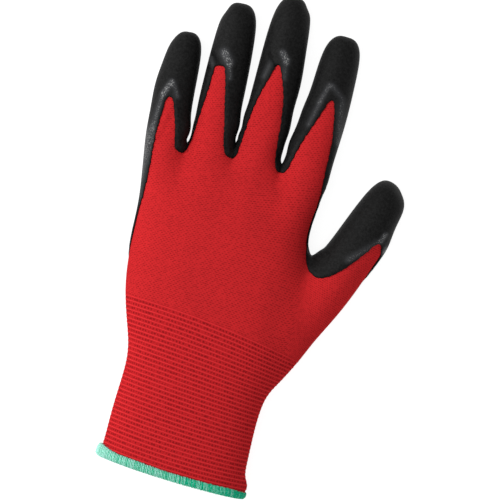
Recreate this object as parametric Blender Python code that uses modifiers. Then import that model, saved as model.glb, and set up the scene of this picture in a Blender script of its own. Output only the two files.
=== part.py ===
"""Nitrile coated cut-resistant glove for the left hand, lying palm down and filled out as if worn.

X runs to the thumb side, Y to the fingertips and Z up. The origin is on the coating's flat underside
in the middle of the palm, where the glove rests. Lengths are in metres.

One smooth skin gives every piece its shape. It is the outer face of the knitted liner: the liner's
wall goes inwards from it, and the nitrile coating lies outside it with a small gap.
"""
import math
from collections import namedtuple

import bmesh
import bpy
import numpy as np
from mathutils import Vector

# Walls and fits
FIT_GAP = 0.0003        # between pieces that touch on the real glove
LINER_WALL = 0.0010     # fine knit
COAT_WALL = 0.0008      # nitrile skin
HEM_WALL = 0.0012       # overlock thread round the cuff's edge

# Cuff
CUFF_LENGTH = 0.078     # from the knitted edge to where the palm begins
CUFF_WIDTH = 0.0720
CUFF_HEIGHT = 0.0330
CUFF_SLANT = math.radians(4.4)   # the edge runs further from the fingers at the thumb side
CUFF_BOW = 0.0015       # the edge's middle bulges away from the fingers
HEM_WIDTH = 0.0043      # seen width of the overlock band

# Palm
PALM_LENGTH = 0.087     # from the cuff to the finger roots
PALM_HEIGHT = 0.0325
FINGER_GAP = 0.0040     # between two finger stalls at their roots

# Fingers, from root to tip and across
LITTLE_LENGTH = 0.0570
LITTLE_WIDTH = 0.0179
RING_LENGTH = 0.0715
RING_WIDTH = 0.0203
MIDDLE_LENGTH = 0.0797
MIDDLE_WIDTH = 0.0212
INDEX_LENGTH = 0.0700
INDEX_WIDTH = 0.0211
THUMB_LENGTH = 0.0610
THUMB_WIDTH = 0.0236
ROOT_HEIGHT = 0.0175    # middle of a finger's root above the surface

# Where the hand's middle line, the thumb and the resting point lie, as shares
KNUCKLE_SHIFT = -0.024  # of the knuckles' width, from the hand's middle line
THUMB_ROOT = (0.625, 0.39)   # of the knuckles' width across, of the palm's length along
THUMB_LEAN = math.radians(20)
REST_ALONG = 0.42       # of the palm's length, from the cuff
SAG = 0.0024            # how far the soft underside would dip below where it rests
ROUNDNESS = 0.95        # a finger's height as a share of its width
THUMB_SAG = 0.0010      # the same under the thumb
LEVEL_HEM = 3           # hem widths of the cuff that lie level on the hem
LIFTED_CUFF = 0.3       # of the cuff's length, over which the thicker hem lifts it

# A loop of six points, smoothed, shrinks to this share of its radius
SIX_SHRINK = 5 / 6
SIX_TURNS = (150, 90, 30, -30, -90, -150)    # degrees round a stall from the left
COLUMNS = 12            # points of a palm ring on the back, and as many on the palm side
PER_FINGER = 3          # of those, the points that each finger takes
ROOT_REACH = 0.965      # how far a palm ring's outer points follow the outer fingers' sides
SHARP_FOLD = math.radians(40)    # folds of the hem from here on look sharp

Finger = namedtuple("Finger", "length width along lean slant tip_height")
FINGERS = (
    # little, ring, middle, index; along is the root's place as a share of the palm's length
    Finger(LITTLE_LENGTH, LITTLE_WIDTH, 0.990, math.radians(-0.4), math.radians(-12), 0.38),
    Finger(RING_LENGTH, RING_WIDTH, 1.045, math.radians(0.0), math.radians(-14), 0.38),
    Finger(MIDDLE_LENGTH, MIDDLE_WIDTH, 1.050, math.radians(1.0), math.radians(14), 0.38),
    Finger(INDEX_LENGTH, INDEX_WIDTH, 1.005, math.radians(4.2), math.radians(8), 0.38),
)
KNUCKLE_WIDTH = sum(f.width for f in FINGERS) + (len(FINGERS) - 1) * FINGER_GAP

# A finger's loops: along and width as shares of its own, slant as a share of the root's,
# rake is how far the palm side leads, drop goes from the root's height to the tip's
FingerRow = namedtuple("FingerRow", "along width slant rake drop")
FINGER_ROWS = (
    FingerRow(0.00, 1.00, 1.00, 0.45, 0.00),
    FingerRow(0.25, 0.99, 0.30, 0.15, 0.20),
    FingerRow(0.50, 0.97, 0.00, 0.00, 0.50),
    FingerRow(0.74, 0.91, 0.00, 0.00, 0.80),
    FingerRow(0.92, 0.83, 0.00, 0.00, 1.00),
    FingerRow(1.02, 0.56, 0.00, 0.00, 1.00),
)

# The thumb's loops beyond the palm: along its axis, sideways from it, width, and turn towards the palm
ThumbRow = namedtuple("ThumbRow", "along side width turn height")
THUMB_ROWS = (
    ThumbRow(-0.07, -0.06, 1.36, math.radians(42), 1.03),
    ThumbRow(0.28, 0.01, 1.05, math.radians(8), 1.00),
    ThumbRow(0.53, 0.01, 0.97, math.radians(0), 0.95),
    ThumbRow(0.77, 0.00, 0.86, math.radians(-3), 0.86),
    ThumbRow(0.93, -0.02, 0.70, math.radians(-5), 0.74),
    ThumbRow(1.02, -0.03, 0.42, math.radians(-6), 0.46),
)
THUMB_TALL = 0.93       # the thumb's height as a share of its width
# The thumb's root on the palm: half the knuckles' width out, and half the thumb's height up and down
THUMB_SEAT = (0.90, 0.955, 0.90)
THUMB_SEAT_RISE = (0.6, 1.2, 0.6)

# Rings of the cuff and palm; left and right are shares of half the cuff's or knuckles' width
Ring = namedtuple("Ring", "along left right low high spread rake")
CUFF_RINGS = (
    Ring(0.00, 1.060, 1.045, 0.00, 0.98, 0.00, 0.00),
    Ring(0.13, 1.035, 1.000, 0.00, 0.97, 0.00, 0.00),
    Ring(0.36, 1.025, 0.985, 0.00, 0.98, 0.00, 0.00),
    Ring(0.62, 0.970, 1.010, 0.00, 1.00, 0.00, 0.00),
    Ring(0.81, 0.985, 1.120, 0.00, 1.03, 0.10, 0.00),
)
PALM_RINGS = (
    Ring(0.11, 0.970, 0.960, 0.00, 1.04, 0.35, 0.05),
    Ring(0.52, 1.000, 0.935, 0.00, 1.05, 0.60, 0.15),
    Ring(0.77, 1.005, 0.905, 0.05, 1.00, 0.85, 0.28),
)
THUMB_RINGS = (4, 5, 6)  # the rings whose thumb side opens into the thumb
BACK_POWER = 2.3        # how square a ring is over the back, and on the palm side
PALM_POWER = 3.2

# The bare window on the back: shares of a finger's length, and of its half width to each side
WindowRow = namedtuple("WindowRow", "along left right")
FINGER_WINDOWS = (
    (WindowRow(0.05, -0.55, 0.50), WindowRow(0.20, -0.50, 0.24), WindowRow(0.36, -0.38, 0.10),
     WindowRow(0.42, -0.16, -0.16)),
    (WindowRow(0.04, -0.90, 0.50), WindowRow(0.24, -0.80, 0.27), WindowRow(0.42, -0.62, 0.08),
     WindowRow(0.55, -0.48, -0.10)),
    (WindowRow(0.04, -0.96, 0.66), WindowRow(0.27, -0.78, 0.56), WindowRow(0.44, -0.55, 0.30),
     WindowRow(0.59, -0.15, -0.15)),
    (WindowRow(0.05, -0.74, 0.80), WindowRow(0.25, -0.48, 0.70), WindowRow(0.46, -0.16, 0.46),
     WindowRow(0.59, 0.15, 0.15)),
)
CROTCH_DIP = 0.045      # of the palm's length, from a root's middle back to the window's edge

# The window's edges on the palm part: along the palm, and across as shares of the half width
EdgePoint = namedtuple("EdgePoint", "along across")
LITTLE_SIDE_EDGE = (EdgePoint(0.45, -1.06), EdgePoint(0.58, -0.965), EdgePoint(0.80, -0.945))
INDEX_SIDE_EDGE = (EdgePoint(0.90, 0.930), EdgePoint(0.75, 0.895), EdgePoint(0.55, 0.905),
                   EdgePoint(0.47, 0.965), EdgePoint(0.43, 1.09))
THUMB_WINDOW = (        # along the thumb's length, and across its half width
    EdgePoint(0.13, -0.10), EdgePoint(0.37, 0.38), EdgePoint(0.55, 0.68), EdgePoint(0.51, 0.90),
    EdgePoint(0.40, 1.06), EdgePoint(0.36, 1.40),
)
# Where the dip line crosses the two sides and the palm, and the middle of the hollow
DipPoint = namedtuple("DipPoint", "along across height")
DIP_LINE = (DipPoint(0.45, -1.00, 0.50), DipPoint(0.575, 1.68, 0.36), DipPoint(0.13, 0.00, 0.00))
HOLLOW_MIDDLE = (DipPoint(0.45, -1.00, 0.52), DipPoint(0.575, 1.68, 0.38), DipPoint(1.60, 0.15, 0.40))
CUTTER_OVERLAP = 0.0005          # how far the two cutters run into each other

SURFACE = FIT_GAP + COAT_WALL    # the skin's lowest level, so that the coating rests on the surface
REST_Y = CUFF_LENGTH + REST_ALONG * PALM_LENGTH
FAR = 2 * KNUCKLE_WIDTH          # well outside the glove

MaterialFacts = namedtuple("MaterialFacts", "color roughness metallic")
RED_KNIT = MaterialFacts((0.52, 0.022, 0.025), 0.85, 0.0)
BLACK_NITRILE = MaterialFacts((0.022, 0.022, 0.022), 0.55, 0.0)
GREEN_THREAD = MaterialFacts((0.22, 0.60, 0.48), 0.80, 0.0)


def clear_scene():
    for existing in list(bpy.data.objects):
        bpy.data.objects.remove(existing)


def collection(name):
    made = bpy.data.collections.new(name)
    bpy.context.scene.collection.children.link(made)
    return made


def material(name, facts):
    made = bpy.data.materials.new(name)
    made.use_nodes = True
    shader = made.node_tree.nodes["Principled BSDF"]
    shader.inputs["Base Color"].default_value = (*facts.color, 1.0)
    shader.inputs["Roughness"].default_value = facts.roughness
    shader.inputs["Metallic"].default_value = facts.metallic
    return made


def place(across, along, height=0.0):
    """A point from the hand's middle line, the cuff's edge and the surface."""
    return Vector((across, along - REST_Y, height))


def palm_place(point):
    """A point given as shares of the knuckles' half width and the palm's length."""
    return place(point.across * KNUCKLE_WIDTH / 2, CUFF_LENGTH + point.along * PALM_LENGTH)


def six_loop(centre, heading, half_width, half_height, rake=0.0):
    """Six points round a stall: three over the back from left to right, then three back below."""
    side = Vector((math.cos(heading), -math.sin(heading), 0))
    ahead = Vector((math.sin(heading), math.cos(heading), 0))
    points = []
    for degrees in SIX_TURNS:
        turn = math.radians(degrees)
        across = math.cos(turn) * half_width / SIX_SHRINK
        up = math.sin(turn) * half_height / SIX_SHRINK
        points.append(centre + side * across + ahead * (-rake * up) + Vector((0, 0, up)))
    return points


def finger_root(number):
    """The middle of a finger's root, seen from above."""
    finger = FINGERS[number]
    before = sum(f.width + FINGER_GAP for f in FINGERS[:number])
    across = (KNUCKLE_SHIFT - 0.5) * KNUCKLE_WIDTH + before + finger.width / 2
    return place(across, CUFF_LENGTH + finger.along * PALM_LENGTH)


def on_finger(number, along, side):
    """A point above a finger, by shares of its length and half width."""
    finger = FINGERS[number]
    ahead = Vector((math.sin(finger.lean), math.cos(finger.lean), 0))
    across = Vector((math.cos(finger.lean), -math.sin(finger.lean), 0))
    return finger_root(number) + ahead * along * finger.length + across * side * finger.width / 2


def finger_loops(number):
    finger = FINGERS[number]
    tip_middle = SURFACE + finger.tip_height * finger.width
    loops = []
    for row in FINGER_ROWS:
        centre = on_finger(number, row.along, 0)
        centre.z = ROOT_HEIGHT + row.drop * (tip_middle - ROOT_HEIGHT)
        half = row.width * finger.width / 2
        heading = finger.lean + row.slant * finger.slant
        loops.append(six_loop(centre, heading, half, half * ROUNDNESS, row.rake))
    return loops


def on_thumb(along, side):
    """A point above the thumb, by shares of its length and half width."""
    root = place(THUMB_ROOT[0] * KNUCKLE_WIDTH, CUFF_LENGTH + THUMB_ROOT[1] * PALM_LENGTH)
    ahead = Vector((math.sin(THUMB_LEAN), math.cos(THUMB_LEAN), 0))
    across = Vector((math.cos(THUMB_LEAN), -math.sin(THUMB_LEAN), 0))
    return root + ahead * along * THUMB_LENGTH + across * side * THUMB_WIDTH / 2


def thumb_loops():
    loops = []
    for row in THUMB_ROWS:
        half_height = row.height * THUMB_TALL * THUMB_WIDTH / 2
        centre = on_thumb(row.along, 2 * row.side)
        centre.z = SURFACE + half_height - THUMB_SAG
        half_width = row.width * THUMB_WIDTH / 2
        loops.append(six_loop(centre, THUMB_LEAN + row.turn, half_width, half_height))
    return loops


def root_columns():
    """Where the finger roots' points lie across the hand, from -1 to 1."""
    middle = KNUCKLE_SHIFT * KNUCKLE_WIDTH
    across = []
    for number in range(len(FINGERS)):
        loop = finger_loops(number)[0]
        across += [(point.x - middle) / (KNUCKLE_WIDTH / 2) for point in loop[:PER_FINGER]]
    return [ROOT_REACH * value for value in across]


def round_columns():
    """Where the points of an even round ring lie across it, from -1 to 1."""
    step = math.pi / COLUMNS
    return [-math.cos((number + 0.5) * step) for number in range(COLUMNS)]


def ring_points(ring, half_span, along, height):
    """The points of one ring: over the back from left to right, then back on the palm side."""
    left = -ring.left * half_span
    right = ring.right * half_span
    low = SURFACE + ring.low * height - SAG
    high = ring.high * height
    middle = (low + high) / 2
    back = []
    under = []
    for round_share, root_share in zip(round_columns(), root_columns()):
        share = round_share + ring.spread * (root_share - round_share)
        across = (left + right) / 2 + share * (right - left) / 2
        rise = (1 - abs(share) ** BACK_POWER) ** (1 / BACK_POWER) * (high - middle)
        fall = (1 - abs(share) ** PALM_POWER) ** (1 / PALM_POWER) * (middle - low)
        back.append(place(across, along - ring.rake * rise, middle + rise))
        under.append(place(across, along + ring.rake * fall, middle - fall))
    return back + under[::-1]


def cuff_edge(across):
    """How far the knitted edge lies along the hand at a place across it."""
    share = 2 * across / CUFF_WIDTH
    return FIT_GAP + HEM_WALL - across * math.tan(CUFF_SLANT) + CUFF_BOW * share * share


def hand_rings():
    """All rings from the cuff's edge to just before the finger roots."""
    rings = []
    for ring in CUFF_RINGS:
        points = ring_points(ring, CUFF_WIDTH / 2, ring.along * CUFF_LENGTH, CUFF_HEIGHT)
        for point in points:
            point.y += cuff_edge(point.x) * (1 - ring.along)
        rings.append(points)
    for ring in PALM_RINGS:
        along = CUFF_LENGTH + ring.along * PALM_LENGTH
        rings.append(ring_points(ring, KNUCKLE_WIDTH / 2, along, PALM_HEIGHT))
    seat_thumb(rings)
    return rings


def seat_thumb(rings):
    """Move the thumb side of three rings out to the thumb's root."""
    half_height = THUMB_TALL * THUMB_WIDTH / 2
    middle = SURFACE + half_height
    for number, seat, rise in zip(THUMB_RINGS, THUMB_SEAT, THUMB_SEAT_RISE):
        for column, sign in ((COLUMNS - 1, 1), (COLUMNS, -1)):
            rings[number][column].x = seat * KNUCKLE_WIDTH / 2
            rings[number][column].z = middle + sign * rise * half_height


def join_loops(cage, lower, upper, open_at=()):
    """Faces between two loops of as many points, leaving some open."""
    count = len(lower)
    for number in range(count):
        if number in open_at:
            continue
        after = (number + 1) % count
        cage.faces.new((lower[number], lower[after], upper[after], upper[number]))


def grow_stall(cage, base, loops):
    """Loft a finger from its base loop and close its tip with two faces."""
    lower = base
    for points in loops:
        upper = [cage.verts.new(point) for point in points]
        join_loops(cage, lower, upper)
        lower = upper
    cage.faces.new((lower[0], lower[1], lower[4], lower[5]))
    cage.faces.new((lower[1], lower[2], lower[3], lower[4]))


def finger_bases(root):
    """Split the root ring into one loop of six for each finger."""
    last = len(root) - 1
    bases = []
    for number in range(len(FINGERS)):
        first = number * PER_FINGER
        back = [root[first + step] for step in range(PER_FINGER)]
        under = [root[last - first - step] for step in range(PER_FINGER)]
        bases.append(back + under[::-1])
    return bases


def build_cage():
    """The coarse hand: rings, four fingers with webs between them, and the thumb at the side."""
    cage = bmesh.new()
    rings = [[cage.verts.new(point) for point in ring] for ring in hand_rings()]
    stalls = [finger_loops(number) for number in range(len(FINGERS))]
    back = [point for loops in stalls for point in loops[0][:PER_FINGER]]
    under = [point for loops in reversed(stalls) for point in loops[0][PER_FINGER:]]
    rings.append([cage.verts.new(point) for point in back + under])
    for number in range(len(rings) - 1):
        opens = (COLUMNS - 1,) if number in THUMB_RINGS[:-1] else ()
        join_loops(cage, rings[number], rings[number + 1], opens)
    bases = finger_bases(rings[-1])
    for base, loops in zip(bases, stalls):
        grow_stall(cage, base, loops[1:])
    for left, right in zip(bases, bases[1:]):
        cage.faces.new((left[2], right[0], right[5], left[3]))
    outer, middle, inner = (rings[number] for number in THUMB_RINGS)
    thumb_back = [ring[COLUMNS - 1] for ring in (inner, middle, outer)]
    thumb_under = [ring[COLUMNS] for ring in (outer, middle, inner)]
    grow_stall(cage, thumb_back + thumb_under, thumb_loops())
    mesh = bpy.data.meshes.new("hand_cage")
    cage.to_mesh(mesh)
    cage.free()
    return mesh


def evaluated_mesh(item):
    graph = bpy.context.evaluated_depsgraph_get()
    return bpy.data.meshes.new_from_object(item.evaluated_get(graph))


def guide_object(name, mesh, guides):
    """An object that only shapes others."""
    made = bpy.data.objects.new(name, mesh)
    made.hide_render = True
    made.display_type = "WIRE"
    guides.objects.link(made)
    return made


def piece_object(name, mesh, made_of, parts):
    made = bpy.data.objects.new(name, mesh)
    made.data.materials.clear()
    made.data.materials.append(made_of)
    made.data.shade_smooth()
    parts.objects.link(made)
    return made


def rest_level(along):
    """The skin's lowest level: the hem is thicker than the coating, so it lifts the cuff's end."""
    past_hem = along + REST_Y - LEVEL_HEM * HEM_WIDTH
    share = min(1.0, max(0.0, past_hem / (LIFTED_CUFF * CUFF_LENGTH)))
    hem_level = FIT_GAP + HEM_WALL
    return hem_level + share * (SURFACE - hem_level)


def build_skin(guides):
    """The smooth hand surface, flattened where it rests."""
    cage = guide_object("hand_cage", build_cage(), guides)
    smooth = cage.modifiers.new("smooth", "SUBSURF")
    smooth.levels = 1
    smooth.render_levels = 1
    skin = evaluated_mesh(cage)
    skin.name = "hand_skin"
    for vertex in skin.vertices:
        vertex.co.z = max(vertex.co.z, rest_level(vertex.co.y))
    skin.update()
    return skin


def add_solidify(item, thickness, offset):
    wall = item.modifiers.new("wall", "SOLIDIFY")
    wall.thickness = thickness
    wall.offset = offset
    return wall


def build_liner(skin, parts):
    liner = piece_object("knit_liner", skin.copy(), material("red_fine_knit", RED_KNIT), parts)
    add_solidify(liner, LINER_WALL, -1)
    return liner


def through_three(points):
    """Height coefficients of the plane through three points: z = a + b x + c y."""
    matrix = np.array([(1, point.x, point.y) for point in points])
    return np.linalg.solve(matrix, np.array([point.z for point in points]))


def dip_place(point):
    at = palm_place(point)
    at.z = point.height * PALM_HEIGHT
    return at


def window_outline():
    """The bare window seen from above, from the little finger's side round to the thumb's."""
    outline = [palm_place(point) for point in LITTLE_SIDE_EDGE]
    for number, rows in enumerate(FINGER_WINDOWS):
        outline += [on_finger(number, row.along, row.left) for row in rows]
        outline += [on_finger(number, row.along, row.right) for row in rows[::-1]
                    if row.right > row.left]
        if number < len(FINGERS) - 1:
            crotch = (finger_root(number) + finger_root(number + 1)) / 2
            crotch.x = (on_finger(number, 0, 1).x + on_finger(number + 1, 0, -1).x) / 2
            crotch.y -= CROTCH_DIP * PALM_LENGTH
            outline.append(crotch)
    outline += [palm_place(point) for point in INDEX_SIDE_EDGE]
    outline += [on_thumb(point.along, point.across) for point in THUMB_WINDOW]
    outline.append(Vector((FAR, outline[-1].y, 0)))
    outline.append(Vector((FAR, -FAR, 0)))
    outline.append(Vector((-FAR, -FAR, 0)))
    outline.append(Vector((-FAR, outline[0].y, 0)))
    return outline


def build_window_cutter(guides):
    """A tall block over the window, from a slanting plane in the middle of the hollow upwards."""
    level, per_x, per_y = through_three([dip_place(point) for point in HOLLOW_MIDDLE])
    cutter = bmesh.new()
    low = [cutter.verts.new((p.x, p.y, level + per_x * p.x + per_y * p.y)) for p in window_outline()]
    face = cutter.faces.new(low)
    raised = bmesh.ops.extrude_face_region(cutter, geom=[face])["geom"]
    for vertex in [item for item in raised if isinstance(item, bmesh.types.BMVert)]:
        vertex.co.z = 2 * PALM_HEIGHT
    bmesh.ops.recalc_face_normals(cutter, faces=cutter.faces)
    mesh = bpy.data.meshes.new("window_cutter")
    cutter.to_mesh(mesh)
    cutter.free()
    return guide_object("window_cutter", mesh, guides)


def build_dip_cutter(guides):
    """A block on the cuff's side of the dip line's slanting plane, up to the hollow's middle."""
    start, start_x, start_z = through_three([dip_place(point).xzy for point in DIP_LINE])
    level, level_x, level_y = through_three([dip_place(point) for point in HOLLOW_MIDDLE])
    cutter = bmesh.new()
    bmesh.ops.create_cube(cutter, size=1)
    for vertex in cutter.verts:
        is_top = vertex.co.z > 0
        is_front = vertex.co.y > 0
        across = math.copysign(FAR, vertex.co.x)
        along = start + start_x * across if is_front else -2 * FAR
        height = -PALM_HEIGHT
        if is_top:
            meeting = 1 - level_y * start_z if is_front else 1
            height = (level + level_x * across + level_y * along) / meeting + CUTTER_OVERLAP
        if is_front:
            along += start_z * height
        vertex.co = (across, along, height)
    mesh = bpy.data.meshes.new("dip_cutter")
    cutter.to_mesh(mesh)
    cutter.free()
    return guide_object("dip_cutter", mesh, guides)


def build_coating(skin, parts, guides):
    made_of = material("black_foam_nitrile", BLACK_NITRILE)
    coating = piece_object("nitrile_coating", skin.copy(), made_of, parts)
    lift = coating.modifiers.new("clearance", "DISPLACE")
    lift.strength = FIT_GAP
    lift.mid_level = 0
    add_solidify(coating, COAT_WALL, 1)
    for cutter in (build_window_cutter(guides), build_dip_cutter(guides)):
        cut = coating.modifiers.new(cutter.name, "BOOLEAN")
        cut.operation = "DIFFERENCE"
        cut.solver = "EXACT"
        cut.object = cutter
    return coating


def rim_frames(skin):
    """For each point of the cuff's edge in order: its place, outward direction and way up the wall."""
    shape = bmesh.new()
    shape.from_mesh(skin)
    shape.normal_update()
    edge = next(edge for edge in shape.edges if edge.is_boundary)
    start = edge.verts[0]
    frames = []
    here = start
    while True:
        inner = next(e for e in here.link_edges if not e.is_boundary).other_vert(here)
        frames.append((here.co.copy(), here.normal.copy(), (inner.co - here.co).normalized()))
        here = edge.other_vert(here)
        if here == start:
            break
        edge = next(e for e in here.link_edges if e.is_boundary and e is not edge)
    shape.free()
    return frames


def hem_section():
    """The overlock's section: out from the skin, and along the wall from the knitted edge."""
    outer = FIT_GAP + HEM_WALL
    seat_inside = -LINER_WALL - FIT_GAP
    inner = seat_inside - HEM_WALL
    top = HEM_WIDTH - outer
    return ((FIT_GAP, top), (outer, top), (outer, 0), (FIT_GAP, -outer), (seat_inside, -outer),
            (inner, 0), (inner, top), (seat_inside, top), (seat_inside, -FIT_GAP), (FIT_GAP, -FIT_GAP))


def build_hem(skin, parts):
    shape = bmesh.new()
    section = hem_section()
    loops = []
    for spot, out, up in rim_frames(skin):
        loops.append([shape.verts.new(spot + out * off + up * along) for off, along in section])
    for number, loop in enumerate(loops):
        join_loops(shape, loop, loops[(number + 1) % len(loops)])
    bmesh.ops.recalc_face_normals(shape, faces=shape.faces)
    mesh = bpy.data.meshes.new("cuff_hem")
    shape.to_mesh(mesh)
    shape.free()
    hem = piece_object("cuff_hem", mesh, material("green_overlock_thread", GREEN_THREAD), parts)
    hem.data.set_sharp_from_angle(angle=SHARP_FOLD)
    return hem


def main():
    clear_scene()
    parts = collection("cut_resistant_glove")
    guides = collection("guides_and_cutters")
    skin = build_skin(guides)
    build_liner(skin, parts)
    build_coating(skin, parts, guides)
    build_hem(skin, parts)


main()
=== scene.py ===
"""The look of the nitrile coated work glove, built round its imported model.

The knitted liner, the coating and the hem replace their plain solids. All three grow from one smooth
hand form, the same as the model's own, so its measures are repeated here in metres. X runs to the
thumb side, Y to the fingertips and Z up.
"""
import math
from collections import namedtuple

import bmesh
import bpy
import numpy as np
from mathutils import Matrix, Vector


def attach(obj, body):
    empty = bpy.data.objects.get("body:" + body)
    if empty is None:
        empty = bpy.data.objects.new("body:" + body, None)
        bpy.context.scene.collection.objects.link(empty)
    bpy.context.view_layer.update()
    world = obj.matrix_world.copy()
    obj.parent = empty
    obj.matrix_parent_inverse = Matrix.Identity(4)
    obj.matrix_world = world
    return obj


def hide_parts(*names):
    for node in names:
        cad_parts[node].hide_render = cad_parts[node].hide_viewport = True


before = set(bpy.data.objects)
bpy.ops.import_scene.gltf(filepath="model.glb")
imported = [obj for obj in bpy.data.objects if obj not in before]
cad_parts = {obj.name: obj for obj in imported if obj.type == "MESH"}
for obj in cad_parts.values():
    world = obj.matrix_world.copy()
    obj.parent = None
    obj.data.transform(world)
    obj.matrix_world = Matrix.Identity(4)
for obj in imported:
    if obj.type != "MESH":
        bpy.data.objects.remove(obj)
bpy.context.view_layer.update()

# Walls and fits
FIT_GAP = 0.0003        # between pieces that touch on the real glove
LINER_WALL = 0.0010     # fine knit
COAT_WALL = 0.0008      # nitrile skin
HEM_WALL = 0.0012       # overlock thread round the cuff's edge

# Cuff
CUFF_LENGTH = 0.078     # from the knitted edge to where the palm begins
CUFF_WIDTH = 0.0720
CUFF_HEIGHT = 0.0330
CUFF_SLANT = math.radians(4.4)   # the edge runs further from the fingers at the thumb side
CUFF_BOW = 0.0015       # the edge's middle bulges away from the fingers
HEM_WIDTH = 0.0043      # seen width of the overlock band

# Palm
PALM_LENGTH = 0.087     # from the cuff to the finger roots
PALM_HEIGHT = 0.0325
FINGER_GAP = 0.0040     # between two finger stalls at their roots

# Fingers, from root to tip and across
LITTLE_LENGTH = 0.0570
LITTLE_WIDTH = 0.0179
RING_LENGTH = 0.0715
RING_WIDTH = 0.0203
MIDDLE_LENGTH = 0.0797
MIDDLE_WIDTH = 0.0212
INDEX_LENGTH = 0.0700
INDEX_WIDTH = 0.0211
THUMB_LENGTH = 0.0610
THUMB_WIDTH = 0.0236
ROOT_HEIGHT = 0.0175    # middle of a finger's root above the surface

# Where the hand's middle line, the thumb and the resting point lie, as shares
KNUCKLE_SHIFT = -0.024  # of the knuckles' width, from the hand's middle line
THUMB_ROOT = (0.625, 0.39)   # of the knuckles' width across, of the palm's length along
THUMB_LEAN = math.radians(20)
REST_ALONG = 0.42       # of the palm's length, from the cuff
SAG = 0.0024            # how far the soft underside would dip below where it rests
ROUNDNESS = 0.95        # a finger's height as a share of its width
THUMB_SAG = 0.0010      # the same under the thumb
LEVEL_HEM = 3           # hem widths of the cuff that lie level on the hem
LIFTED_CUFF = 0.3       # of the cuff's length, over which the thicker hem lifts it

# A loop of six points, smoothed, shrinks to this share of its radius
SIX_SHRINK = 5 / 6
SIX_TURNS = (150, 90, 30, -30, -90, -150)    # degrees round a stall from the left
COLUMNS = 12            # points of a palm ring on the back, and as many on the palm side
PER_FINGER = 3          # of those, the points that each finger takes
ROOT_REACH = 0.965      # how far a palm ring's outer points follow the outer fingers' sides
SHARP_FOLD = math.radians(40)    # an angle for the hem's folds

Finger = namedtuple("Finger", "length width along lean slant tip_height")
FINGERS = (
    # little, ring, middle, index; along is the root's place as a share of the palm's length
    Finger(LITTLE_LENGTH, LITTLE_WIDTH, 0.990, math.radians(-0.4), math.radians(-12), 0.38),
    Finger(RING_LENGTH, RING_WIDTH, 1.045, math.radians(0.0), math.radians(-14), 0.38),
    Finger(MIDDLE_LENGTH, MIDDLE_WIDTH, 1.050, math.radians(1.0), math.radians(14), 0.38),
    Finger(INDEX_LENGTH, INDEX_WIDTH, 1.005, math.radians(4.2), math.radians(8), 0.38),
)
KNUCKLE_WIDTH = sum(f.width for f in FINGERS) + (len(FINGERS) - 1) * FINGER_GAP

# A finger's loops: along and width as shares of its own, slant as a share of the root's,
# rake is how far the palm side leads, drop goes from the root's height to the tip's
FingerRow = namedtuple("FingerRow", "along width slant rake drop")
FINGER_ROWS = (
    FingerRow(0.00, 1.00, 1.00, 0.45, 0.00),
    FingerRow(0.25, 0.99, 0.30, 0.15, 0.20),
    FingerRow(0.50, 0.97, 0.00, 0.00, 0.50),
    FingerRow(0.74, 0.915, 0.00, 0.00, 0.80),
    FingerRow(0.90, 0.83, 0.00, 0.00, 1.00),
    FingerRow(0.985, 0.66, 0.00, 0.00, 1.00),
    FingerRow(1.032, 0.36, 0.00, 0.00, 1.00),
)

# The thumb's loops beyond the palm: along its axis, sideways from it, width, and turn towards the palm
ThumbRow = namedtuple("ThumbRow", "along side width turn height")
THUMB_ROWS = (
    ThumbRow(-0.07, -0.06, 1.36, math.radians(42), 1.03),
    ThumbRow(0.28, 0.01, 1.05, math.radians(8), 1.00),
    ThumbRow(0.53, 0.01, 0.97, math.radians(0), 0.95),
    ThumbRow(0.77, 0.00, 0.86, math.radians(-3), 0.86),
    ThumbRow(0.93, -0.02, 0.70, math.radians(-5), 0.74),
    ThumbRow(1.02, -0.03, 0.42, math.radians(-6), 0.46),
)
THUMB_TALL = 0.93       # the thumb's height as a share of its width
# The thumb's root on the palm: half the knuckles' width out, and half the thumb's height up and down
THUMB_SEAT = (0.90, 0.955, 0.90)
THUMB_SEAT_RISE = (0.6, 1.2, 0.6)

# Rings of the cuff and palm; left and right are shares of half the cuff's or knuckles' width
Ring = namedtuple("Ring", "along left right low high spread rake")
CUFF_RINGS = (
    Ring(0.00, 1.060, 1.045, 0.00, 0.98, 0.00, 0.00),
    Ring(0.13, 1.035, 1.000, 0.00, 0.97, 0.00, 0.00),
    Ring(0.36, 1.025, 0.985, 0.00, 0.98, 0.00, 0.00),
    Ring(0.62, 0.970, 1.010, 0.00, 1.00, 0.00, 0.00),
    Ring(0.81, 0.985, 1.120, 0.00, 1.03, 0.10, 0.00),
)
PALM_RINGS = (
    Ring(0.11, 0.970, 0.960, 0.00, 1.04, 0.35, 0.05),
    Ring(0.52, 1.000, 0.935, 0.00, 1.05, 0.60, 0.15),
    Ring(0.77, 1.005, 0.905, 0.05, 1.00, 0.85, 0.28),
)
THUMB_RINGS = (4, 5, 6)  # the rings whose thumb side opens into the thumb
BACK_POWER = 2.3        # how square a ring is over the back, and on the palm side
PALM_POWER = 3.2

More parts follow.
